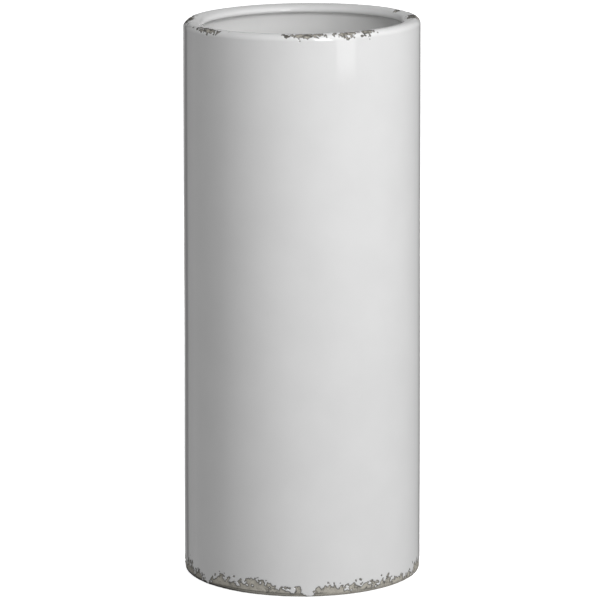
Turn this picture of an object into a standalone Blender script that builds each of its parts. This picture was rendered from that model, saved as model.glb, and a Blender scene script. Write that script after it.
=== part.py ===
"""A tall stoneware cylinder vase in a white glaze that has worn away at its lip and foot.

The clay is two members: a wall that ends in a thick rounded lip, and a floor disc let into a rebate in the
wall's foot. A fillet of clay seals that joint inside. A glossy white glaze coats the outside and rolls over
the lip, a satin liner glaze makes the inside watertight, and four felt pads under the floor stand on the
table. Z is up, and the origin is on the vase's axis, on the surface that it stands on. Lengths are in metres.
"""

import math

import bmesh
import bpy
import numpy as np
from mathutils import Matrix, Vector, noise

MM = 0.001

# Driving dimensions, measured over the glaze.
HEIGHT = 460 * MM
BASE_RADIUS = 97.8 * MM
TOP_RADIUS = 96.2 * MM  # smaller than the base, by the draft that frees the vase from its mould
WALL = 9.5 * MM

# The lip is a bead, flush with the wall outside and standing in from it inside.
LIP_THICKNESS = 15.0 * MM
LIP_DEPTH = 5.2 * MM  # from its crown down to where it is thickest
LIP_ROUND = 5.3 * MM
LIP_NOSE = 1.8 * MM

# The coats, and the gap that keeps touching solids apart.
GLAZE = 0.6 * MM
GAP = 0.3 * MM
COAT = GLAZE + GAP

# The foot, the floor and the felt pads under it.
FOOT_Z = 1.0 * MM  # the foot ring is held this far off the table by the pads
FOOT_ROUND = 1.2 * MM
PAD_THICKNESS = 3.0 * MM
PAD_RADIUS = 11.0 * MM
PAD_CIRCLE = 72.0 * MM
PAD_COUNT = 4
PAD_BEVEL = 0.4 * MM
FLOOR_THICKNESS = 12.0 * MM
FLOOR_CHAMFER = 0.8 * MM
FLOOR_FILLET = 8.0 * MM
REBATE = 3.0 * MM  # how far the floor disc reaches under the wall's ledge

# Heights and radii that follow from those.
FLOOR_UNDERSIDE_Z = PAD_THICKNESS + GAP
FLOOR_TOP_Z = FLOOR_UNDERSIDE_Z + FLOOR_THICKNESS
LEDGE_Z = FLOOR_TOP_Z + GAP
LINER_FLOOR_Z = FLOOR_TOP_Z + COAT
NOSE_CENTRE = (TOP_RADIUS - LIP_THICKNESS + LIP_NOSE, HEIGHT - LIP_DEPTH)
UNDERCUT = LIP_THICKNESS - LIP_NOSE - WALL
SHOULDER_Z = HEIGHT - LIP_DEPTH - LIP_NOSE - UNDERCUT
REBATE_RADIUS = BASE_RADIUS - WALL + COAT + REBATE

SEGMENTS = 72
PAD_SEGMENTS = 28

# How high the bare clay shows above the foot, as azimuth in degrees and height. Azimuth 0 faces -Y.
WORN_FOOT = (
    (-180, 7 * MM), (-150, 9 * MM), (-120, 6 * MM), (-90, 9 * MM), (-70, 10 * MM), (-53, 3 * MM),
    (-42, 9 * MM), (-20, 10 * MM), (-6, 8 * MM), (2, 2 * MM), (12, 8 * MM), (25, 6.5 * MM), (35, 3.5 * MM),
    (45, 6.5 * MM), (60, 4.5 * MM), (75, 9 * MM), (100, 7 * MM), (130, 8.5 * MM), (155, 5 * MM), (180, 7 * MM),
)  # fmt: skip
WORN_FOOT_TOP = 25 * MM  # the glaze is whole above this

# Chips in the glaze of the lip, as azimuth in degrees, length along the lip and drop down the wall.
LIP_CHIPS = (
    (-82, 22 * MM, 5 * MM),
    (-52, 31 * MM, 5 * MM),
    (2, 32 * MM, 5 * MM),
    (23, 17 * MM, 5 * MM),
    (33, 12 * MM, 5 * MM),
    (100, 40 * MM, 5 * MM),
    (126, 12 * MM, 4 * MM),
    (166, 18 * MM, 4 * MM),
    (-142, 24 * MM, 5 * MM),
)
CHIP_RAGGEDNESS = 0.35

CLAY_COLOUR = (0.36, 0.345, 0.31, 1)
GLAZE_COLOUR = (0.80, 0.80, 0.80, 1)
LINER_COLOUR = (0.72, 0.72, 0.715, 1)
FELT_COLOUR = (0.10, 0.10, 0.105, 1)


def make_material(name, colour, roughness):
    material = bpy.data.materials.new(name)
    material.use_nodes = True
    shader = material.node_tree.nodes["Principled BSDF"]
    shader.inputs["Base Color"].default_value = colour
    shader.inputs["Roughness"].default_value = roughness
    shader.inputs["Metallic"].default_value = 0.0
    return material


def outer_radius(z):
    """The glazed wall's outer radius at a height: a slight taper, then straight above the shoulder."""
    share = min(max((z - FOOT_Z) / (SHOULDER_Z - FOOT_Z), 0.0), 1.0)
    return BASE_RADIUS + share * (TOP_RADIUS - BASE_RADIUS)


def inner_radius(z):
    return outer_radius(z) - WALL


def arc(centre, radii, start, end, steps):
    """Points (r, z) along an arc of an ellipse, between two angles in degrees."""
    angles = [math.radians(start + (end - start) * i / steps) for i in range(steps + 1)]
    return [(centre[0] + radii[0] * math.cos(a), centre[1] + radii[1] * math.sin(a)) for a in angles]


def lip_outside(inset):
    """The lip from the outer wall, over its crown, to the bottom of its nose, set into the clay by inset."""
    crown_r = TOP_RADIUS - LIP_ROUND
    shoulder = (LIP_ROUND - inset, LIP_ROUND - inset)
    flank = (LIP_THICKNESS - LIP_ROUND - inset, LIP_DEPTH - inset)
    nose = (LIP_NOSE - inset, LIP_NOSE - inset)
    return (
        arc((crown_r, HEIGHT - LIP_ROUND), shoulder, 0, 90, 4)
        + arc((crown_r, HEIGHT - LIP_DEPTH), flank, 90, 180, 5)[1:]
        + arc(NOSE_CENTRE, nose, 180, 270, 2)[1:]
    )


def lip_underside(inset, start=90):
    """The hollow curve from the lip's nose to the inner wall."""
    centre = (NOSE_CENTRE[0], SHOULDER_Z)
    return arc(centre, (UNDERCUT + inset, UNDERCUT + inset), start, 0, 3)


def floor_fillet(inset):
    """The hollow curve from the inner wall to the floor."""
    centre_z = LINER_FLOOR_Z + FLOOR_FILLET
    centre = (inner_radius(centre_z) - FLOOR_FILLET, centre_z)
    return arc(centre, (FLOOR_FILLET + inset, FLOOR_FILLET + inset), 0, -90, 4)


def turned(name, profile, material, closed=True):
    """A body of revolution about Z. A profile that isn't closed starts and ends on the axis."""
    mesh = bmesh.new()
    points = [mesh.verts.new((r, 0, z)) for r, z in profile]
    ends = points[1:] + points[:1] if closed else points[1:]
    edges = [mesh.edges.new(pair) for pair in zip(points, ends, strict=False)]
    bmesh.ops.spin(
        mesh, geom=points + edges, cent=(0, 0, 0), axis=(0, 0, 1), angle=2 * math.pi, steps=SEGMENTS,
        use_merge=True,
    )  # fmt: skip
    bmesh.ops.remove_doubles(mesh, verts=mesh.verts, dist=0.001 * MM)
    bmesh.ops.recalc_face_normals(mesh, faces=mesh.faces)
    return object_from(name, mesh, material)


def object_from(name, mesh, material):
    data = bpy.data.meshes.new(name)
    mesh.to_mesh(data)
    mesh.free()
    data.materials.append(material)
    data.shade_smooth()
    data.set_sharp_from_angle(angle=math.radians(35))
    obj = bpy.data.objects.new(name, data)
    bpy.context.scene.collection.objects.link(obj)
    return obj


def make_wall(material):
    """The clay wall: foot ring, outside, lip, inside, and the rebate that takes the floor disc."""
    foot_centre = (BASE_RADIUS - COAT - FOOT_ROUND, FOOT_Z + FOOT_ROUND)
    profile = (
        [(REBATE_RADIUS, FOOT_Z)]
        + arc(foot_centre, (FOOT_ROUND, FOOT_ROUND), -90, 0, 2)
        + lip_outside(COAT)
        + lip_underside(COAT)[1:]
        + [(inner_radius(LEDGE_Z) + COAT, LEDGE_Z), (REBATE_RADIUS, LEDGE_Z)]
    )
    return turned("stoneware_wall", profile, material)


def make_floor(material):
    radius = REBATE_RADIUS - GAP
    profile = [
        (0, FLOOR_UNDERSIDE_Z),
        (radius - FLOOR_CHAMFER, FLOOR_UNDERSIDE_Z),
        (radius, FLOOR_UNDERSIDE_Z + FLOOR_CHAMFER),
        (radius, FLOOR_TOP_Z - FLOOR_CHAMFER),
        (radius - FLOOR_CHAMFER, FLOOR_TOP_Z),
        (0, FLOOR_TOP_Z),
    ]
    return turned("stoneware_floor", profile, material, closed=False)


def make_seam_fillet(material):
    """The roll of clay pressed into the corner between wall and floor."""
    back_r = inner_radius(LEDGE_Z) + GLAZE
    hollow = [(r, z) for r, z in floor_fillet(COAT) if r < back_r and z > LEDGE_Z]
    reach = math.sqrt((FLOOR_FILLET + COAT) ** 2 - (FLOOR_FILLET + GLAZE) ** 2)
    centre_z = LINER_FLOOR_Z + FLOOR_FILLET
    centre_r = inner_radius(centre_z) - FLOOR_FILLET
    profile = [(back_r, LEDGE_Z), (back_r, centre_z - reach)] + hollow + [(centre_r + reach, LEDGE_Z)]
    return turned("seam_fillet", profile, material)


def make_outer_glaze(material):
    """The white coat outside and over the lip. Its lower edge follows WORN_FOOT."""
    outside = [(BASE_RADIUS, FOOT_Z), (outer_radius(WORN_FOOT_TOP), WORN_FOOT_TOP)] + lip_outside(0)
    inside = [(BASE_RADIUS - GLAZE, FOOT_Z), (outer_radius(WORN_FOOT_TOP) - GLAZE, WORN_FOOT_TOP)]
    inside += lip_outside(GLAZE)
    glaze = turned("outer_glaze", outside + inside[::-1], material)
    azimuths, heights = zip(*WORN_FOOT, strict=True)
    for vertex in glaze.data.vertices:
        if vertex.co.z < WORN_FOOT_TOP / 2:
            azimuth = math.degrees(math.atan2(vertex.co.x, -vertex.co.y))
            vertex.co.z = FOOT_Z + np.interp(azimuth, azimuths, heights)
    for number, (azimuth, length, drop) in enumerate(LIP_CHIPS, 1):
        cut = glaze.modifiers.new(f"chip_{number}", "BOOLEAN")
        cut.operation = "DIFFERENCE"
        cut.solver = "EXACT"
        cut.object = make_chip_cutter(f"chip_cutter_{number}", azimuth, length, drop)
    return glaze


def make_chip_cutter(name, azimuth, length, drop):
    """A ragged pebble across the lip's outer edge. It takes a bite out of the glaze there."""
    mesh = bmesh.new()
    bmesh.ops.create_icosphere(mesh, subdivisions=3, radius=1.0)
    for vertex in mesh.verts:
        bump = noise.noise(vertex.co * 2.1 + Vector((azimuth, 0, 0)))
        vertex.co *= 1 + CHIP_RAGGEDNESS * bump
    size = Matrix.Diagonal((length / 2, drop, drop, 1))
    place = Matrix.Translation((0, -TOP_RADIUS, HEIGHT - drop / 2))
    mesh.transform(Matrix.Rotation(math.radians(azimuth), 4, "Z") @ place @ size)
    cutter = object_from(name, mesh, bpy.data.materials[0])
    cutter.hide_render = True
    cutter.display_type = "WIRE"
    return cutter


def make_liner_glaze(material):
    """The watertight coat inside: under the lip, down the wall, round the fillet and over the floor."""
    wet = lip_underside(0, start=78) + floor_fillet(0) + [(0, LINER_FLOOR_Z)]
    bonded = lip_underside(GLAZE, start=78) + floor_fillet(GLAZE) + [(0, LINER_FLOOR_Z - GLAZE)]
    return turned("liner_glaze", [*wet[::-1], *bonded], material, closed=False)


def make_felt_pad(number, material):
    """One round felt pad, stuck under the floor disc."""
    mesh = bmesh.new()
    bmesh.ops.create_cone(
        mesh, cap_ends=True, segments=PAD_SEGMENTS, radius1=PAD_RADIUS, radius2=PAD_RADIUS,
        depth=PAD_THICKNESS,
    )  # fmt: skip
    pad = object_from(f"felt_pad_{number}", mesh, material)
    bevel = pad.modifiers.new("soft_edge", "BEVEL")
    bevel.width = PAD_BEVEL
    bevel.segments = 1
    azimuth = 2 * math.pi * (number - 0.5) / PAD_COUNT
    pad.location = (PAD_CIRCLE * math.sin(azimuth), -PAD_CIRCLE * math.cos(azimuth), PAD_THICKNESS / 2)
    return pad


def main():
    for obj in list(bpy.data.objects):
        bpy.data.objects.remove(obj)
    clay = make_material("stoneware", CLAY_COLOUR, 0.85)
    glaze = make_material("white_glaze", GLAZE_COLOUR, 0.12)
    liner = make_material("liner_glaze", LINER_COLOUR, 0.4)
    felt = make_material("felt", FELT_COLOUR, 0.95)
    make_wall(clay)
    make_floor(clay)
    make_seam_fillet(clay)
    make_outer_glaze(glaze)
    make_liner_glaze(liner)
    for number in range(1, PAD_COUNT + 1):
        make_felt_pad(number, felt)


main()
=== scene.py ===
"""The looks of the tall white stoneware vase whose glaze has worn away at its lip and foot.

Every piece is turned from a profile, apart from the hidden seam fillet, which keeps its CAD mesh. The
glaze and the clay under it share one wear field, which is positive where there is glaze: the glaze is cut
along the field's zero line, and the clay is roughened, sunk and stained where the field is negative.
Painted shade darkens the clay along the foot's edge and on the lip's chips towards the sides.
Lengths are in metres. Azimuth 0 faces -Y, and azimuth 90 faces +X.
"""

import math

import bpy
import numpy as np
from mathutils import Euler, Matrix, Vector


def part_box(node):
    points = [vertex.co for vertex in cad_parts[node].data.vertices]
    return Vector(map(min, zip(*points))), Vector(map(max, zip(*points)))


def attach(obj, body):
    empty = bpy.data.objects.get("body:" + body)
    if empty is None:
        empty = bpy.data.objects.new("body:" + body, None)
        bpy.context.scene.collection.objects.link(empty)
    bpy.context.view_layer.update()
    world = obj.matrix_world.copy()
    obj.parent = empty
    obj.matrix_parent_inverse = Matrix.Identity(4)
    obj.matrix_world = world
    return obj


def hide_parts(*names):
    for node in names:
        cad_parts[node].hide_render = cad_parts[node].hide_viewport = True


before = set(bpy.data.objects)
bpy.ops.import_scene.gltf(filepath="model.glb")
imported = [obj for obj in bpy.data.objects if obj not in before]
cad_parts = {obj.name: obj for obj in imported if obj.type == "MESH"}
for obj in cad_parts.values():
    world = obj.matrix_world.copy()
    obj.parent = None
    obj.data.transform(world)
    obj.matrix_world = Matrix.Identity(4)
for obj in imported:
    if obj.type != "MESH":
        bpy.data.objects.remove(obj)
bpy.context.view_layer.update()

MM = 0.001

# ---------------------------------------------------------------- dimensions, from the frame

wall_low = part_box("stoneware_wall")[0]
glaze_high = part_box("outer_glaze")[1]
slab_low, slab_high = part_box("stoneware_floor")


def radius_between(node, low_z, high_z):
    """A CAD node's largest radius between two heights."""
    points = [v.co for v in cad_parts[node].data.vertices if low_z <= v.co.z <= high_z]
    return max(math.hypot(p.x, p.y) for p in points)


LIP_SIDE = (7 * MM, 5 * MM)  # how far below the top the lip's side is upright

HEIGHT = glaze_high.z
FOOT_Z = wall_low.z
BASE_RADIUS = glaze_high.x
TOP_RADIUS = radius_between("outer_glaze", HEIGHT - LIP_SIDE[0], HEIGHT - LIP_SIDE[1])
WALL = 9.5 * MM
LIP_THICKNESS = 15.0 * MM
LIP_DEPTH = 5.2 * MM
LIP_ROUND = 5.3 * MM
LIP_NOSE = 1.8 * MM
UNDERCUT = LIP_THICKNESS - LIP_NOSE - WALL
SHOULDER_Z = HEIGHT - LIP_DEPTH - LIP_NOSE - UNDERCUT
NOSE_CENTRE = (TOP_RADIUS - LIP_THICKNESS + LIP_NOSE, HEIGHT - LIP_DEPTH)
CROWN_R = TOP_RADIUS - LIP_ROUND
FOOT_ROUND = 1.6 * MM
FOOT_RING = 4.0 * MM  # the outer part of the foot ring's underside that the glaze profile covers
JOINT = 0.3 * MM  # the gap that the CAD solids keep
LEDGE_Z = slab_high.z + JOINT
REBATE_RADIUS = slab_high.x + JOINT
LINER = 0.6 * MM  # the inner coat's thickness
INNER_FLOOR_Z = slab_high.z + JOINT + LINER
FLOOR_FILLET = 8.0 * MM

GLAZE = 0.45 * MM  # how far the white surface stands off the clay
SUNK = 0.05 * MM  # how far a coat's hidden side reaches into the clay

# ---------------------------------------------------------------- the wear

# How high the bare clay shows above the foot: azimuth in degrees, height. Below zero the glaze is whole.
FOOT_WEAR = (
    (-180, 6 * MM), (-170, 9 * MM), (-160, 5 * MM), (-150, 8 * MM), (-135, 10 * MM), (-122, 7 * MM),
    (-115, -2 * MM), (-108, 6 * MM), (-100, 9 * MM), (-90, 9 * MM), (-75, 9.5 * MM), (-62, 6.5 * MM),
    (-56, 5 * MM), (-52.2, -3 * MM), (-49, 6 * MM), (-45, 10 * MM), (-38, 10.5 * MM), (-30, 9.5 * MM),
    (-22, 10.5 * MM), (-14, 7 * MM), (-8, 6 * MM), (-2, 6.5 * MM), (0.5, -1 * MM), (2.6, -3 * MM),
    (5, -1 * MM), (7, 5 * MM), (10, 7 * MM), (13.6, 11 * MM), (16, 8.5 * MM), (19, 6.5 * MM),
    (22, 4.5 * MM), (26, 6.5 * MM), (35, 6 * MM), (42, 7 * MM), (50, 6 * MM), (57, 6 * MM),
    (65, 7 * MM), (72, 8.5 * MM), (80, 9.5 * MM), (90, 10 * MM), (105, 8 * MM), (120, 9.5 * MM),
    (132, 3 * MM), (138, 7 * MM), (150, 9 * MM), (165, 6 * MM), (180, 6 * MM),
)  # fmt: skip
FOOT_SLOPE = 0.6  # how fast the glaze becomes whole above that height

# Chips along the lip: azimuth in degrees, then length along the lip, how far the chip's middle lies outside
# the crown (below zero it is towards the mouth), its half width across the lip, and how bare it is worn.
LIP_WEAR = (
    (-95, 46 * MM, 2.4 * MM, 4.8 * MM, 2.2),
    (-53, 28 * MM, 3.2 * MM, 3.0 * MM, 1.2),
    (2.4, 29 * MM, 2.6 * MM, 2.5 * MM, 1.0),
    (22.2, 18 * MM, 2.6 * MM, 3.4 * MM, 1.0),
    (33.6, 11 * MM, 2.4 * MM, 3.8 * MM, 1.0),
    (91, 25 * MM, 0.6 * MM, 6.4 * MM, 1.7),
    (117, 7 * MM, -3.6 * MM, 2.2 * MM, 1.0),
    (113, 60 * MM, 2.0 * MM, 1.8 * MM, 1.0),
    (150, 20 * MM, 6.5 * MM, 4.0 * MM, 1.2),
    (166, 12 * MM, 6.0 * MM, 3.5 * MM, 1.2),
    (-160, 9 * MM, 6.0 * MM, 3.5 * MM, 1.2),
    (-142, 26 * MM, 6.5 * MM, 4.2 * MM, 1.2),
)
CHIP_SLOPE = 2.9 * MM  # how much glaze the field gains from a chip's middle to its rim

# The ragged edge: the size of its bumps, and how far they push it.
RAGGED_FOOT = ((8.0 * MM, 1.4 * MM), (3.4 * MM, 2.0 * MM), (2.0 * MM, 2.0 * MM), (1.2 * MM, 1.6 * MM))
RAGGED_CHIP = ((6.0 * MM, 0.6 * MM), (2.6 * MM, 1.4 * MM), (1.6 * MM, 2.0 * MM), (1.1 * MM, 1.5 * MM))
WHOLE = 6 * MM  # the field's value where the glaze can't be worn
NEVER_ZERO = 0.01 * MM  # the field keeps this far from zero, so that a cut never falls on a grid point

# ---------------------------------------------------------------- repeatable noise


def lattice(ix, iy, iz, seed):
    """A repeatable number from 0 to 1 for each point of a lattice."""
    h = (ix * 374761393 + iy * 668265263 + iz * 1442695041 + seed * 974634777) & 0xFFFFFFFF
    h = ((h ^ (h >> 13)) * 1274126177) & 0xFFFFFFFF
    return (h ^ (h >> 16)) / 0xFFFFFFFF


def noise(points, size, seed):
    """Smooth noise from -1 to 1, with bumps about size across, at an array of points (..., 3)."""
    turn = np.array(Euler((0.4 + seed, 0.7 * seed, 1.1)).to_matrix())
    scaled = points @ turn.T / size
    cell = np.floor(scaled).astype(np.int64)
    t = scaled - cell
    t = t * t * t * (t * (t * 6 - 15) + 10)
    total = np.zeros(points.shape[:-1])
    for corner in np.ndindex(2, 2, 2):
        weight = np.ones_like(total)
        for axis in range(3):
            weight *= t[..., axis] if corner[axis] else 1 - t[..., axis]
        total += weight * lattice(*[cell[..., axis] + corner[axis] for axis in range(3)], seed)
    return 2 * total - 1


def layered(points, layers, seed):
    """A sum of noises, from (size, amplitude) pairs."""
    return sum(amount * noise(points, size, seed + i) for i, (size, amount) in enumerate(layers))


def smooth(x):
    """A ramp from 0 to 1 that is level at both ends."""
    x = np.clip(x, 0, 1)
    return x * x * (3 - 2 * x)


# ---------------------------------------------------------------- profiles


def arc(centre, radii, start, end, steps=24):
    """Points (r, z) along an arc of an ellipse, between two angles in degrees."""
    angles = np.radians(np.linspace(start, end, steps + 1))
    return np.column_stack([centre[0] + radii[0] * np.cos(angles), centre[1] + radii[1] * np.sin(angles)])


def line(start, end, steps=40):
    return np.linspace(start, end, steps + 1)


def outer_radius(z):
    share = min(max((z - FOOT_Z) / (SHOULDER_Z - FOOT_Z), 0.0), 1.0)
    return BASE_RADIUS + share * (TOP_RADIUS - BASE_RADIUS)


SAME_POINT = 0.001 * MM  # points closer than this are one


class Profile:
    """A curve in the (r, z) half plane, looked up by the distance along it."""

    def __init__(self, *stretches):
        points = np.vstack(stretches)
        apart = np.linalg.norm(np.diff(points, axis=0), axis=1) > SAME_POINT
        self.points = points[np.r_[True, apart]]
        steps = np.linalg.norm(np.diff(self.points, axis=0), axis=1)
        self.s = np.r_[0, np.cumsum(steps)]
        ahead = np.gradient(self.points, self.s, axis=0)
        normals = np.column_stack([ahead[:, 1], -ahead[:, 0]])
        self.normals = normals / np.linalg.norm(normals, axis=1, keepdims=True)

    def length(self):
        return self.s[-1]

    def at(self, s):
        """Radius, height and the normal's two parts at distances along the curve."""
        columns = (self.points[:, 0], self.points[:, 1], self.normals[:, 0], self.normals[:, 1])
        return [np.interp(s, self.s, column) for column in columns]

    def where(self, point):
        """The distance along the curve of its nearest point to (r, z)."""
        return self.s[np.argmin(np.linalg.norm(self.points - np.array(point), axis=1))]

    def place(self, s, theta, offset=0.0):
        """Points in space at distances s and azimuths theta, moved out along the normal by offset."""
        r, z, normal_r, normal_z = self.at(s)
        r = r + normal_r * offset
        z = z + normal_z * offset
        return by_hand(np.stack([r * np.sin(theta), -r * np.cos(theta), z + 0 * theta], axis=-1))


WAVINESS = 0.18 * MM
WAVE_SIZE = 90 * MM
WAVE_STRETCH = 0.6  # below 1, the waves are longer up the wall than round it
WAVE_START = 40 * MM  # the height at which the waves have their full depth
LIP_TILT = 0.0112  # the lip stands higher at +X by this share of x


def by_hand(points):
    """What casting and drying did to the true cylinder: faint waves, and a lip that isn't quite level."""
    x, y, z = np.moveaxis(points, -1, 0)
    stretched = np.stack([x, y, z * WAVE_STRETCH], axis=-1)
    swell = 1 + WAVINESS / BASE_RADIUS * noise(stretched, WAVE_SIZE, seed=3) * smooth(z / WAVE_START)
    return np.stack([x * swell, y * swell, z + LIP_TILT * x * (z / HEIGHT) ** 2], axis=-1)


foot_arc = arc((BASE_RADIUS - FOOT_ROUND, FOOT_Z + FOOT_ROUND), (FOOT_ROUND, FOOT_ROUND), -90, 0)
OUTSIDE = Profile(
    line((BASE_RADIUS - FOOT_RING, FOOT_Z), foot_arc[0], 8),
    foot_arc,
    line(foot_arc[-1], (TOP_RADIUS, SHOULDER_Z), 300),
    line((TOP_RADIUS, SHOULDER_Z), (TOP_RADIUS, HEIGHT - LIP_ROUND), 8),
    arc((CROWN_R, HEIGHT - LIP_ROUND), (LIP_ROUND, LIP_ROUND), 0, 90),
    arc((CROWN_R, HEIGHT - LIP_DEPTH), (LIP_THICKNESS - LIP_ROUND, LIP_DEPTH), 90, 180),
    arc(NOSE_CENTRE, (LIP_NOSE, LIP_NOSE), 180, 270),
)
CROWN_S = OUTSIDE.where((CROWN_R, HEIGHT))

# ---------------------------------------------------------------- the grid that the worn pieces share

COLUMNS = 1120
CELL = 0.55 * MM
PLAIN_ROWS = 22  # rows across the wall, where nothing is worn
FOOT_BAND = 22 * MM  # the worn band above the foot
LIP_BAND = 10 * MM  # the worn band below the lip's crown, down the outside


def rows_by(step, start, end):
    return np.linspace(start, end, max(1, round((end - start) / step)) + 1)


foot_rows = rows_by(CELL, 0, FOOT_BAND)
lip_rows = rows_by(CELL, CROWN_S - LIP_ROUND - LIP_BAND, OUTSIDE.length())
plain_rows = np.linspace(foot_rows[-1], lip_rows[0], PLAIN_ROWS + 1)[1:-1]
GRID_S = np.r_[foot_rows, plain_rows, lip_rows][:, None]
GRID_T = (np.arange(COLUMNS) * 2 * math.pi / COLUMNS)[None, :]


def wrap(angle):
    """An angle brought into -pi to pi."""
    return (angle + math.pi) % (2 * math.pi) - math.pi


AZIMUTH = np.degrees(wrap(GRID_T))
UNDER_FOOT = OUTSIDE.where(foot_arc[len(foot_arc) // 3])  # the glaze ends on the foot's rounding
NOSE_S = OUTSIDE.where((NOSE_CENTRE[0] - LIP_NOSE, NOSE_CENTRE[1]))
NOSE_SLOPE = 0.5  # how fast the field may fall with the distance from the lip's nose, which stays whole


def by_azimuth(stops):
    """A value round the vase, from a table of azimuths in degrees."""
    angles, values = zip(*stops, strict=True)
    return np.interp(AZIMUTH, angles, values)


def foot_field(points):
    """The foot's part of the wear field."""
    level = FOOT_SLOPE * (points[..., 2] - FOOT_Z - by_azimuth(FOOT_WEAR))
    return level + layered(points, RAGGED_FOOT, seed=11)


def lip_field(points):
    """The lip's part of the wear field."""
    level = np.full(points.shape[:-1], WHOLE)
    across = CROWN_S - GRID_S
    for chip_azimuth, length, middle, half_width, bareness in LIP_WEAR:
        along = wrap(GRID_T - math.radians(chip_azimuth)) * TOP_RADIUS
        reach = np.hypot(along / (length / 2), (across - middle) / half_width)
        level = np.minimum(level, CHIP_SLOPE * bareness * (reach - 1))
    return level + layered(points, RAGGED_CHIP, seed=20)


def wear_field():
    """Roughly the distance to the nearest bare edge at each point of the grid, positive in the glaze."""
    points = OUTSIDE.place(GRID_S, GRID_T)
    field = np.minimum(foot_field(points), lip_field(points))
    between = (GRID_S > foot_rows[-1]) & (GRID_S < lip_rows[0])
    field = np.where(between, WHOLE, field)
    field = np.where(GRID_S < UNDER_FOOT, np.minimum(field, GRID_S - UNDER_FOOT), field)
    field = np.maximum(field, (GRID_S - NOSE_S) * NOSE_SLOPE)
    return np.where(np.abs(field) < NEVER_ZERO, NEVER_ZERO, field)


LEAST_SLOPE = 0.3  # a flatter field than this would put its zero line too far away
WALKED_CELLS = 6
FAR = 1.0  # stands for no edge within reach


def edge_distance(field):
    """The distance to the field's zero line, found by walking out from it over the grid."""
    step_s = np.gradient(GRID_S[:, 0])[:, None]
    step_t = 2 * math.pi * BASE_RADIUS / COLUMNS
    slope = np.hypot(np.gradient(field, axis=0) / step_s, np.gradient(field, axis=1) / step_t)
    sign = field > 0
    beside = np.zeros_like(sign)
    for axis in (0, 1):
        for shift in (1, -1):
            beside |= sign != np.roll(sign, shift, axis)
    start = np.minimum(np.abs(field) / np.maximum(slope, LEAST_SLOPE), CELL)
    distance = np.where(beside, start, FAR)
    for _ in range(WALKED_CELLS):
        for shift in np.ndindex(3, 3):
            shift_s, shift_t = shift[0] - 1, shift[1] - 1
            step = math.hypot(shift_s * CELL, shift_t * step_t)
            moved = np.roll(distance, (shift_s, shift_t), (0, 1)) + step
            same_side = sign == np.roll(sign, (shift_s, shift_t), (0, 1))
            distance = np.where(same_side, np.minimum(distance, moved), distance)
    return distance


# ---------------------------------------------------------------- meshes


def make_object(name, points, faces, material, attributes=None, crease=40):
    """A smooth-shaded mesh object, with float attributes on its points."""
    mesh = bpy.data.meshes.new(name)
    mesh.from_pydata(points.tolist(), [], faces)
    mesh.validate()
    mesh.materials.append(material)
    for key, values in (attributes or {}).items():
        mesh.attributes.new(key, "FLOAT", "POINT").data.foreach_set("value", np.asarray(values, np.float32))
    mesh.shade_smooth()
    mesh.set_sharp_from_angle(angle=math.radians(crease))
    made = bpy.data.objects.new(name, mesh)
    bpy.context.scene.collection.objects.link(made)
    return made


def add_piece(piece, nodes):
    """Puts a finished piece on the vase's one body, in place of CAD nodes."""
    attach(piece, "root")
    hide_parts(*nodes)


def grid_faces(rows, columns, closed=False):
    """Quads over a grid of rings. A closed grid's last ring joins its first."""
    i = np.arange(rows if closed else rows - 1)[:, None]
    j = np.arange(columns)[None, :]
    above, beside = (i + 1) % rows, (j + 1) % columns
    corners = (i * columns + j, i * columns + beside, above * columns + beside, above * columns + j)
    return np.stack(corners, axis=-1).reshape(-1, 4).tolist()


AXIS_GAP = 0.2 * MM  # a turned body's rings stop this short of the axis


def turned_mesh(name, profile, columns, material, relief):
    """A body turned from a profile that starts and ends by the axis, where fans of triangles close it.

    The relief is a function that says how far the surface stands out at each of its points.
    """
    s = profile.s[:, None]
    theta = (np.arange(columns) * 2 * math.pi / columns)[None, :]
    points = profile.place(s, theta, relief(profile.place(s, theta))).reshape(-1, 3)
    count = len(points)
    bottom, top = points[:columns].mean(axis=0), points[-columns:].mean(axis=0)
    ring = [(j, (j + 1) % columns) for j in range(columns)]
    last = count - columns
    faces = grid_faces(len(s), columns)
    faces += [(b, a, count) for a, b in ring]
    faces += [(last + a, last + b, count + 1) for a, b in ring]
    return make_object(name, np.vstack([points, bottom, top]), faces, material)


# ---------------------------------------------------------------- the outer glaze


def quad_corners(values):
    """A grid's values at the four corners of each of its quads, in order round the quad."""
    beside = np.roll(values, -1, 1)
    return values[:-1], beside[:-1], beside[1:], values[1:]


NEAR_CORNER = 0.04  # a cut keeps at least this share of a cell's side away from its corners


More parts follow.
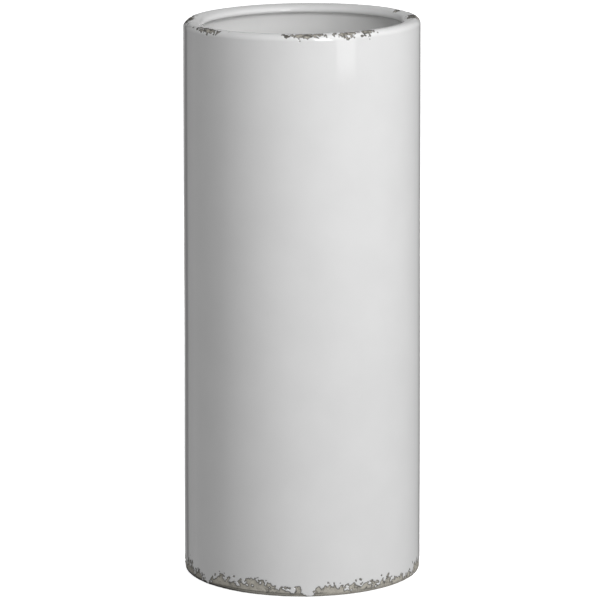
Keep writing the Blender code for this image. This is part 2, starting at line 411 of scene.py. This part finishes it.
class Clip:
    """The part of the shared grid where the wear field is positive, cut along its zero line."""

    def __init__(self, field):
        rows, columns = field.shape
        self.kept = field > 0
        self.number = np.arange(rows * columns).reshape(rows, columns)
        self.s = np.broadcast_to(GRID_S, field.shape).ravel()
        self.theta = np.broadcast_to(GRID_T, field.shape).ravel()
        self.count = rows * columns
        self.on_ring = self.cross(field, np.roll(field, -1, 1), 1)
        self.on_rise = self.cross(field[:-1], field[1:], 0)
        self.polygons = []
        self.edge = []
        self.collect()

    def cross(self, here, there, axis):
        """Adds a point wherever the field changes sign along one direction of the grid."""
        split = (here > 0) != (there > 0)
        share = here / np.where(split, here - there, 1)
        share = np.clip(share, NEAR_CORNER, 1 - NEAR_CORNER)[split]
        row, column = np.nonzero(split)
        s_here = GRID_S[row, 0]
        s_there = GRID_S[np.minimum(row + (axis == 0), len(GRID_S) - 1), 0]
        step = (2 * math.pi / COLUMNS) * (axis == 1)
        self.s = np.r_[self.s, s_here + share * (s_there - s_here)]
        self.theta = np.r_[self.theta, GRID_T[0, column] + share * step]
        numbers = np.full(here.shape, -1)
        numbers[split] = self.count + np.arange(len(row))
        self.count += len(row)
        return numbers

    def collect(self):
        """Whole quads, and what is left of the quads that the zero line crosses."""
        corner_kept = quad_corners(self.kept)
        corner = quad_corners(self.number)
        side = (self.on_ring[:-1], np.roll(self.on_rise, -1, 1), self.on_ring[1:], self.on_rise)
        inside = np.sum(corner_kept, axis=0)
        whole = inside == 4
        self.polygons += np.stack([c[whole] for c in corner], axis=-1).tolist()
        for i, j in zip(*np.nonzero((inside > 0) & (inside < 4)), strict=True):
            here = [[part[i, j] for part in parts] for parts in (corner_kept, corner, side)]
            self.cut_quad(*here)

    def cut_quad(self, kept, corners, sides):
        """Adds what is left of one quad, and the new edge along the cut."""
        polygon = []
        for k in range(4):
            if kept[k]:
                polygon.append(int(corners[k]))
            if sides[k] >= 0:
                polygon.append(int(sides[k]))
                if kept[k]:
                    self.edge.append([int(sides[k]), -1])
        # Each new edge has its first point. The polygon's next point is its second.
        for link in reversed(self.edge):
            if link[1] >= 0:
                break
            link[1] = polygon[(polygon.index(link[0]) + 1) % len(polygon)]
        self.polygons.append(polygon)


EDGE_STAIN_WIDTH = 0.22 * MM
EDGE_SHARE = 0.25  # how much of the glaze's thickness is left at its very edge
EDGE_ROUND = 0.9 * MM  # how far in from its edge it has its full thickness
ORANGE_PEEL = 0.012 * MM
ORANGE_PEEL_SIZE = 2.5 * MM


def rounded_edge(distance):
    """How much of the glaze's thickness stands at a distance from its worn edge."""
    return EDGE_SHARE + (1 - EDGE_SHARE) * smooth(distance / EDGE_ROUND) ** 0.5


def shell_faces(clip, last):
    """The glaze's outer skin, its inner skin, and the walls that join them along the cuts and the nose."""
    outer = clip.polygons
    inner = [[v + clip.count for v in reversed(polygon)] for polygon in outer]
    nose = [(last + j, last + (j + 1) % COLUMNS) for j in range(COLUMNS)]
    return outer + inner + [[b, a, a + clip.count, b + clip.count] for a, b in clip.edge + nose]


def make_outer_glaze(field, distance, material):
    clip = Clip(field)
    from_edge = np.zeros(clip.count)
    from_edge[: field.size] = distance.ravel()
    skin = OUTSIDE.place(clip.s, clip.theta)
    peel = ORANGE_PEEL * noise(skin, ORANGE_PEEL_SIZE, seed=40)
    rise = -GLAZE * (1 - rounded_edge(from_edge)) + peel
    outer = OUTSIDE.place(clip.s, clip.theta, rise)
    inner = OUTSIDE.place(clip.s, clip.theta, -GLAZE - SUNK)
    points = np.vstack([outer, inner])
    faces = shell_faces(clip, field.size - COLUMNS)
    used = np.zeros(len(points), bool)
    used[np.concatenate([np.asarray(face) for face in faces])] = True
    renumber = np.cumsum(used) - 1
    faces = [[int(renumber[v]) for v in face] for face in faces]
    stain_and_shade_share = np.exp(-((from_edge / EDGE_STAIN_WIDTH) ** 2))
    stain_and_shade_share = np.concatenate([stain_and_shade_share, stain_and_shade_share])[used]
    return make_object("worn_white_glaze", points[used], faces, material, {"stain_and_shade": stain_and_shade_share})


# ---------------------------------------------------------------- the clay


def inner_radius(z):
    return outer_radius(z) - WALL


def clay_return():
    """The clay's surface from the end of the lip's nose down the inside, and back under the foot."""
    bevel = 0.6 * MM
    hollow = arc((NOSE_CENTRE[0], SHOULDER_Z), (UNDERCUT + GLAZE, UNDERCUT + GLAZE), 84, 0, 6)
    ledge_r = inner_radius(LEDGE_Z) + GLAZE
    return Profile(
        hollow,
        line(hollow[-1], (ledge_r, LEDGE_Z), 12),
        line((ledge_r, LEDGE_Z), (REBATE_RADIUS, LEDGE_Z), 2),
        line((REBATE_RADIUS, LEDGE_Z), (REBATE_RADIUS, FOOT_Z + bevel), 4),
        line((REBATE_RADIUS, FOOT_Z + bevel), (REBATE_RADIUS + bevel, FOOT_Z), 1),
    )


# GRIT, CRACKS and GRIME are layers of noise: the size of the bumps, and how far they reach.
GRIT = ((2.2 * MM, 0.06 * MM), (1.0 * MM, 0.05 * MM), (0.7 * MM, 0.04 * MM))
GRIT_BELOW = 1 * MM  # the clay is gritty where the wear field is below this
CHIP_DEPTH = 0.22 * MM
SCUFF_DEPTH = 0.10 * MM
SINK_WIDTH = 2.5 * MM  # how far in from its edge a bare patch reaches its depth

SEAM_Z = FOOT_Z + 2.6 * MM
SEAM_DEPTH = 0.2 * MM
SEAM_HALF_WIDTH = 0.45 * MM
SEAM_WANDER = 0.4 * MM
SEAM_WANDER_SIZE = 30 * MM
SEAM_GAP_SIZE = 35 * MM

CHIP_STAIN_WIDTH = 0.5 * MM
FOOT_STAIN_WIDTH = 0.42 * MM
CRACKS = ((4.5 * MM, 0.6), (2.0 * MM, 0.5), (1.1 * MM, 0.3))
CRACK_HALF_WIDTH = 0.10
CRACK_DARKNESS = 0.8
CRACK_GAP_SIZE = 9 * MM
GRIME = ((9.0 * MM, 0.5), (2.2 * MM, 0.8), (1.2 * MM, 0.5))
SIDES_START, SIDES_END = 38, 58  # the azimuths, either way, between which painted shade darkens the lip's chips towards the sides

# How dark painted shade makes the foot's very edge, darkest on the left front: azimuth in degrees, share of
# the stain colour.
FOOT_EDGE_SHADE = ((-180, 0.4), (-92, 0.6), (-76, 1.0), (-40, 1.0), (-26, 0.6), (5, 0.4), (40, 0.35), (180, 0.4))
FOOT_EDGE_SHADE_FADE = 2.2 * MM  # the painted shade is whole this far up the foot's edge, and fades over as much again

AT_LIP = GRID_S > lip_rows[0]
FOOT_S = OUTSIDE.where(foot_arc[0])


def slab_seam(points):
    """A hairline round the foot, from 0 to 1, where the wall was joined to its floor. It comes and goes."""
    wander = SEAM_Z + SEAM_WANDER * noise(points, SEAM_WANDER_SIZE, seed=70)
    line_share = np.exp(-(((points[..., 2] - wander) / SEAM_HALF_WIDTH) ** 2))
    stretches = smooth(0.25 + 2.2 * noise(points, SEAM_GAP_SIZE, seed=71))
    return line_share * stretches


def dark_cracks(points):
    """Short dark lines in the bare clay, from 0 to 1, where a noise passes through zero."""
    line_share = np.exp(-((layered(points, CRACKS, seed=75) / CRACK_HALF_WIDTH) ** 2))
    stretches = smooth(0.35 + 2.0 * noise(points, CRACK_GAP_SIZE, seed=78))
    return CRACK_DARKNESS * line_share * stretches


def lip_grime_and_side_shade(points):
    """Dirt that handling has rubbed into the lip's chips, in random patches, with painted shade that
    darkens the chips towards the sides, from 0 to 1. The painted shade is left out at the front.
    """
    sideways = smooth((np.abs(AZIMUTH) - SIDES_START) / (SIDES_END - SIDES_START))
    patches = smooth(0.30 + 0.5 * sideways + 1.1 * layered(points, GRIME, seed=85))
    return 0.10 + 0.82 * patches


def foot_edge_painted_shade():
    """Painted shade along the foot's bottom edge, from 0 to 1, darkest on the left front."""
    return by_azimuth(FOOT_EDGE_SHADE) * smooth(2.0 - (GRID_S - FOOT_S) / FOOT_EDGE_SHADE_FADE)


def clay_height(field, distance, skin):
    """How far the clay stands off the outer profile. It lies below the glaze, and is sunk where bare."""
    foot_arc_length = FOOT_ROUND * math.pi / 2
    under_glaze = -GLAZE * smooth((GRID_S - FOOT_S) / foot_arc_length)
    bare = np.where(field < 0, smooth(distance / SINK_WIDTH), 0)
    sunk = np.where(AT_LIP, CHIP_DEPTH, SCUFF_DEPTH) * bare
    rough = layered(skin, GRIT, seed=60) * np.where(field < GRIT_BELOW, 1, 0)
    return under_glaze - sunk + rough - SEAM_DEPTH * slab_seam(skin)


def clay_stain_and_shade(field, distance, skin):
    """How dark the clay is, from 0 to 1: under the glaze and by its edges, in seam, cracks and dirt, and
    where painted shade falls along the foot's edge and on the lip's side chips.
    """
    width = np.where(AT_LIP, CHIP_STAIN_WIDTH, FOOT_STAIN_WIDTH)
    edges = np.where(field < 0, np.exp(-((distance / width) ** 2)), 1.0)
    # Dirt in the lip's chips, with painted shade on them towards the sides, and painted shade along the
    # foot's edge.
    dirt_and_shade = np.where(AT_LIP, lip_grime_and_side_shade(skin), foot_edge_painted_shade())
    return np.max([edges, slab_seam(skin), dark_cracks(skin), dirt_and_shade], axis=0)


def make_clay_wall(field, distance, material):
    skin = OUTSIDE.place(GRID_S, GRID_T)
    outer = OUTSIDE.place(GRID_S, GRID_T, clay_height(field, distance, skin))
    back = clay_return()
    inner = back.place(back.s[:, None], GRID_T)
    points = np.concatenate([outer, inner]).reshape(-1, 3)
    # The clay's darkening: stains, with painted shade along the foot's edge and on the lip's side chips.
    stain_and_shade_share = np.concatenate([clay_stain_and_shade(field, distance, skin), np.zeros(inner.shape[:2])]).ravel()
    faces = grid_faces(len(outer) + len(inner), COLUMNS, closed=True)
    return make_object("bare_stoneware_wall", points, faces, material, {"stain_and_shade": stain_and_shade_share}, crease=60)


SPONGE = ((14 * MM, 0.05 * MM), (3 * MM, 0.03 * MM))


def make_floor_slab(material):
    bevel = 0.8 * MM
    low, high, radius = slab_low.z, slab_high.z, slab_high.x
    profile = Profile(
        line((AXIS_GAP, low), (radius - bevel, low), 60),
        line((radius - bevel, low), (radius, low + bevel), 2),
        line((radius, low + bevel), (radius, high - bevel), 4),
        line((radius, high - bevel), (radius - bevel, high), 2),
        line((radius - bevel, high), (AXIS_GAP, high), 8),
    )

    def sponged(points):
        """Faint swirls that a sponge left on the underside."""
        return np.where(points[..., 2] < low + bevel, layered(points, SPONGE, seed=80), 0)

    return turned_mesh("stoneware_floor_slab", profile, 320, material, sponged)


# ---------------------------------------------------------------- the liner glaze

POOLING = ((40 * MM, 0.10 * MM), (12 * MM, 0.03 * MM))


def make_liner(material):
    """The satin coat inside: along its hidden side up to the lip, and back down its wet side."""

    def rise(inset):
        """One side of the coat, from the middle of the floor to under the lip."""
        centre_z = INNER_FLOOR_Z + FLOOR_FILLET
        fillet = (FLOOR_FILLET + inset, FLOOR_FILLET + inset)
        hollow = (UNDERCUT + inset, UNDERCUT + inset)
        corner = arc((inner_radius(centre_z) - FLOOR_FILLET, centre_z), fillet, -90, 0, 14)
        under_lip = arc((NOSE_CENTRE[0], SHOULDER_Z), hollow, 0, 80, 14)
        bottom = line((AXIS_GAP, INNER_FLOOR_Z - inset), corner[0], 40)
        return np.vstack([bottom, corner, line(corner[-1], under_lip[0], 60), under_lip])

    profile = Profile(rise(LINER + SUNK), rise(0)[::-1])

    def pooled(points):
        """The coat runs a little thicker and thinner."""
        return layered(points, POOLING, seed=90)

    return turned_mesh("satin_liner_glaze", profile, 384, material, pooled)


# ---------------------------------------------------------------- the felt pads

FELT_LUMPS = ((1.6 * MM, 0.08 * MM), (0.7 * MM, 0.07 * MM))
FELT_INSET = 0.14 * MM  # keeps the lumps inside the pad's size


def make_felt_pad(node, material):
    low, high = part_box(node)
    radius, thickness = (high.x - low.x) / 2, high.z - low.z
    soft = 0.5 * MM
    profile = Profile(
        line((AXIS_GAP, 0), (radius - soft, 0), 26),
        arc((radius - soft, soft), (soft, soft), -90, 0, 5),
        line((radius, soft), (radius, thickness - soft), 6),
        arc((radius - soft, thickness - soft), (soft, soft), 0, 90, 5),
        line((radius - soft, thickness), (AXIS_GAP, thickness), 12),
    )
    centre = (low + high) / 2

    def matted(points):
        """Lumps and pressed fibres."""
        return layered(points + np.array(centre), FELT_LUMPS, seed=100) - FELT_INSET

    pad = turned_mesh("soft_" + node, profile, 120, material, matted)
    pad.location = (centre.x, centre.y, low.z)
    return pad


# ---------------------------------------------------------------- materials


STAIN_AND_SHADE_COLOUR = (0.075, 0.072, 0.065, 1)  # the dark colour of the wash that has crept under every worn edge, of seam, cracks and dirt, and of the painted shade along the foot's edge and on the lip's side chips


def start_material(name):
    """A new material and its node tree's shader."""
    made = bpy.data.materials.new(name)
    made.use_nodes = True
    return made, made.node_tree, made.node_tree.nodes["Principled BSDF"]


def add_node(tree, kind, settings=None, **inputs):
    """A shader node. Its inputs are given by name, or by number as i0, i1 and so on: each is linked to the
    socket, or set to the value, that it is given.
    """
    node = tree.nodes.new(kind)
    for key, value in (settings or {}).items():
        setattr(node, key, value)
    for key, value in inputs.items():
        numbered = key[0] == "i" and key[1:].isdigit()
        socket = node.inputs[int(key[1:]) if numbered else key.replace("_", " ")]
        if isinstance(value, bpy.types.NodeSocket):
            tree.links.new(value, socket)
        else:
            socket.default_value = value
    return node


def texture_noise(tree, scale, detail=2.0, roughness=0.5):
    """Noise on the object's own metres."""
    where = add_node(tree, "ShaderNodeTexCoord").outputs["Object"]
    inputs = {"Scale": scale, "Detail": detail, "Roughness": roughness}
    return add_node(tree, "ShaderNodeTexNoise", Vector=where, **inputs).outputs["Fac"]


def spread(tree, value, low, high, to_low=0.0, to_high=1.0):
    """A value's range stretched onto another."""
    node = add_node(tree, "ShaderNodeMapRange", i0=value, i1=low, i2=high, i3=to_low, i4=to_high)
    return node.outputs[0]


def blend_colours(tree, share, first, second):
    node = add_node(tree, "ShaderNodeMix", {"data_type": "RGBA"}, i0=share, i6=first, i7=second)
    return node.outputs[2]


def add_bump(tree, shader, height, distance, strength=1.0):
    node = add_node(tree, "ShaderNodeBump", Height=height, Distance=distance, Strength=strength)
    tree.links.new(node.outputs["Normal"], shader.inputs["Normal"])


def calculate(tree, operation, first, second=0.0):
    node = add_node(tree, "ShaderNodeMath", {"operation": operation}, i0=first, i1=second)
    return node.outputs[0]


def add_stain_and_shade(tree, shader, colour):
    """The shader's colour, darkened by the mesh's stain attribute, which holds real stains and, on the
    clay, painted shade too.
    """
    stain_and_shade_share = add_node(tree, "ShaderNodeAttribute", {"attribute_name": "stain_and_shade"}).outputs["Fac"]
    tree.links.new(blend_colours(tree, stain_and_shade_share, colour, STAIN_AND_SHADE_COLOUR), shader.inputs["Base Color"])


def pinholes(tree):
    """1 on tiny dots, in the middle of a few of a texture's cells, and 0 elsewhere."""
    where = add_node(tree, "ShaderNodeTexCoord").outputs["Object"]
    cells = add_node(tree, "ShaderNodeTexVoronoi", Vector=where, Scale=34.0)
    chosen = calculate(tree, "GREATER_THAN", cells.outputs["Color"], 0.80)
    dot = calculate(tree, "LESS_THAN", cells.outputs["Distance"], 0.012)
    return calculate(tree, "MULTIPLY", chosen, dot)


def make_glaze_material():
    made, tree, shader = start_material("glossy_white_glaze")
    cloud = spread(tree, texture_noise(tree, 22, 3), 0.35, 0.65)
    white = blend_colours(tree, cloud, (0.790, 0.790, 0.790, 1), (0.815, 0.815, 0.815, 1))
    add_stain_and_shade(tree, shader, blend_colours(tree, pinholes(tree), white, (0.18, 0.17, 0.16, 1)))
    gloss = spread(tree, texture_noise(tree, 60, 4), 0.3, 0.7, 0.04, 0.09)
    tree.links.new(gloss, shader.inputs["Roughness"])
    add_bump(tree, shader, texture_noise(tree, 260, 2), 0.02 * MM)
    return made


def make_stoneware_material():
    made, tree, shader = start_material("bare_stoneware")
    mottle = spread(tree, texture_noise(tree, 180, 5, 0.65), 0.3, 0.7)
    clay = blend_colours(tree, mottle, (0.42, 0.395, 0.345, 1), (0.62, 0.590, 0.520, 1))
    fleck = spread(tree, texture_noise(tree, 900, 2), 0.62, 0.72)
    # Stains darken the clay, and so does painted shade along the foot's edge and on the lip's side chips.
    add_stain_and_shade(tree, shader, blend_colours(tree, fleck, clay, (0.16, 0.15, 0.135, 1)))
    dryness = spread(tree, texture_noise(tree, 400, 3), 0.3, 0.7, 0.78, 0.95)
    tree.links.new(dryness, shader.inputs["Roughness"])
    add_bump(tree, shader, texture_noise(tree, 1500, 4, 0.6), 0.12 * MM)
    return made


def make_liner_material():
    made, tree, shader = start_material("satin_liner")
    cloud = spread(tree, texture_noise(tree, 30, 4), 0.3, 0.7)
    colour = blend_colours(tree, cloud, (0.82, 0.82, 0.815, 1), (0.85, 0.85, 0.845, 1))
    tree.links.new(colour, shader.inputs["Base Color"])
    satin = spread(tree, texture_noise(tree, 90, 3), 0.3, 0.7, 0.42, 0.55)
    tree.links.new(satin, shader.inputs["Roughness"])
    add_bump(tree, shader, texture_noise(tree, 500, 3), 0.03 * MM)
    return made


def make_felt_material():
    made, tree, shader = start_material("charcoal_felt")
    mixed = spread(tree, texture_noise(tree, 1400, 6, 0.7), 0.3, 0.7)
    colour = blend_colours(tree, mixed, (0.035, 0.035, 0.038, 1), (0.11, 0.11, 0.115, 1))
    tree.links.new(colour, shader.inputs["Base Color"])
    shader.inputs["Roughness"].default_value = 0.95
    shader.inputs["Sheen Weight"].default_value = 0.4
    shader.inputs["Sheen Roughness"].default_value = 0.5
    add_bump(tree, shader, texture_noise(tree, 2600, 5, 0.7), 0.25 * MM)
    return made


# ---------------------------------------------------------------- the studio

COVE_CENTRE = 0.02  # the radius of the floor's innermost ring, which one flat face closes
COVE_RADIUS = 7.0
COVE_BEND = 2.0
COVE_HEIGHT = 9.0
COVE_COLUMNS = 64


def make_cove():
    """A pale floor whose edge curves up into a wall all round.

    It only shows to the camera, so that nothing but the softboxes and the world lights the vase.
    """
    bend = arc((COVE_RADIUS, COVE_BEND), (COVE_BEND, COVE_BEND), -90, 0, 16)
    top = (COVE_RADIUS + COVE_BEND, COVE_HEIGHT)
    profile = Profile(line((COVE_CENTRE, 0), bend[0], 6), bend, line(bend[-1], top, 2))
    made, tree, shader = start_material("pale_floor")
    shade = spread(tree, texture_noise(tree, 3, 2), 0.3, 0.7)
    colour = blend_colours(tree, shade, (0.88, 0.88, 0.88, 1), (0.90, 0.90, 0.90, 1))
    tree.links.new(colour, shader.inputs["Base Color"])
    shader.inputs["Roughness"].default_value = 0.9
    shader.inputs["Emission Color"].default_value = (1, 1, 1, 1)
    shader.inputs["Emission Strength"].default_value = 0.92
    theta = (np.arange(COVE_COLUMNS) * 2 * math.pi / COVE_COLUMNS)[None, :]
    r, z, _, _ = profile.at(profile.s[:, None])
    rings = np.stack([r * np.sin(theta), -r * np.cos(theta), z + 0 * theta], axis=-1)
    faces = grid_faces(len(rings), COVE_COLUMNS) + [tuple(reversed(range(COVE_COLUMNS)))]
    cove = make_object("studio_floor", rings.reshape(-1, 3), faces, made)
    cove.visible_diffuse = False
    cove.visible_glossy = False
    cove.visible_shadow = False


# Softboxes: name, azimuth in degrees, distance, height of the middle, width, height, watts, and whether the
# glaze shows its reflection.
SOFTBOXES = (
    ("key_softbox", 42, 1.5, 0.93, 0.48, 1.42, 4.1, True),
    ("front_strip", 20, 1.8, 0.95, 0.50, 1.30, 20.5, True),
    ("back_fill", 180, 1.7, 0.35, 1.00, 0.60, 12, False),
)


def add_softbox(name, azimuth, distance, height, width, tall, watts, reflected):
    light = bpy.data.lights.new(name, "AREA")
    light.shape = "RECTANGLE"
    light.size = width
    light.size_y = tall
    light.energy = watts
    box = bpy.data.objects.new(name, light)
    bpy.context.scene.collection.objects.link(box)
    turn = math.radians(azimuth)
    box.location = (distance * math.sin(turn), -distance * math.cos(turn), height)
    box.rotation_euler = (math.pi / 2, 0, turn)
    box.visible_glossy = reflected


# The studio's walls: azimuth in degrees, brightness. A white screen stands behind the vase on either side,
# the left one the brighter. A narrow black flat beside each draws a dark line down the vase's edge.
BACK_SCREENS = 0.45
BLACK_FLAT = 0.10
WALLS = (
    (-180, BACK_SCREENS), (-161, BACK_SCREENS), (-158, BLACK_FLAT), (-150, BLACK_FLAT), (-147, 0.50),
    (-128, 0.85), (-112, 0.71), (-97, 0.43), (-84, 0.14), (-52, 0.15), (-37, 0.26), (-22, 0.32), (-8, 0.28),
    (20, 0.05), (38, 0.05), (68, 0.17), (112, 0.48), (156, 0.38), (159, BLACK_FLAT), (167, BLACK_FLAT),
    (170, 0.40), (180, BACK_SCREENS),
)  # fmt: skip
# The ceiling: dim, apart from a bright panel over the front right.
CEILING_DIM = 0.10
CEILING_PANEL = 1.75
CEILING = ((-180, CEILING_DIM), (2, 0.06), (20, CEILING_PANEL), (94, CEILING_PANEL), (108, CEILING_DIM),
           (180, CEILING_DIM))  # fmt: skip
GROUND = 0.10
# The height of a view direction, as the sine of its elevation, where the walls begin to give way to the
# ceiling or the ground, and where they have done so.
WALLS_TO_CEILING = (0.50, 0.64)
WALLS_TO_GROUND = (-0.36, -0.50)


def ramp_round(tree, turn, stops):
    """Brightness by azimuth, from stops in degrees. The turn runs from 0 at -180 to 1 at 180."""
    node = add_node(tree, "ShaderNodeValToRGB", Fac=turn)
    elements = node.color_ramp.elements
    while len(elements) < len(stops):
        elements.new(0.5)
    for element, (azimuth, grey) in zip(elements, stops, strict=True):
        element.position = (azimuth + 180) / 360
        element.color = (grey, grey, grey, 1)
    return node.outputs["Color"]


def make_world():
    """The studio around the vase, as the light that its walls, ceiling and ground throw back."""
    world = bpy.data.worlds.new("studio_air")
    world.use_nodes = True
    tree = world.node_tree
    way = add_node(tree, "ShaderNodeTexCoord").outputs["Generated"]
    x, y, z = add_node(tree, "ShaderNodeSeparateXYZ", Vector=way).outputs
    azimuth = calculate(tree, "ARCTAN2", x, calculate(tree, "MULTIPLY", y, -1.0))
    turn = spread(tree, azimuth, -math.pi, math.pi)
    light = ramp_round(tree, turn, WALLS)
    upward = spread(tree, z, *WALLS_TO_CEILING)
    light = blend_colours(tree, upward, light, ramp_round(tree, turn, CEILING))
    downward = spread(tree, z, *WALLS_TO_GROUND)
    light = blend_colours(tree, downward, light, (GROUND, GROUND, GROUND, 1))
    tree.links.new(light, tree.nodes["Background"].inputs["Color"])
    bpy.context.scene.world = world


CAMERA_PLACE = (0, -3.2439, 0.9119)
LENS = 241.92
LOOK_DOWN = math.radians(11.932)
LOOK_LEFT = math.radians(0.0183)
ROLL = math.radians(0.0572)


def make_camera():
    """A long lens that looks a little down on the vase."""
    data = bpy.data.cameras.new("camera")
    data.sensor_width = 36
    data.lens = LENS
    data.clip_start = 0.1
    data.clip_end = 50
    camera = bpy.data.objects.new("camera", data)
    bpy.context.scene.collection.objects.link(camera)
    camera.location = CAMERA_PLACE
    camera.rotation_euler = (math.pi / 2 - LOOK_DOWN, ROLL, LOOK_LEFT)
    bpy.context.scene.camera = camera
    bpy.context.scene.view_settings.view_transform = "Standard"


# ---------------------------------------------------------------- the vase


def make_vase():
    stoneware = make_stoneware_material()
    field = wear_field()
    distance = edge_distance(field)
    add_piece(make_clay_wall(field, distance, stoneware), ["stoneware_wall"])
    add_piece(make_outer_glaze(field, distance, make_glaze_material()), ["outer_glaze"])
    add_piece(make_floor_slab(stoneware), ["stoneware_floor"])
    add_piece(make_liner(make_liner_material()), ["liner_glaze"])
    felt = make_felt_material()
    for node in sorted(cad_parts):
        if node.startswith("felt_pad"):
            add_piece(make_felt_pad(node, felt), [node])
    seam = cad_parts["seam_fillet"]
    seam.data.materials.clear()
    seam.data.materials.append(stoneware)


make_vase()
make_cove()
for softbox in SOFTBOXES:
    add_softbox(*softbox)
make_world()
make_camera()
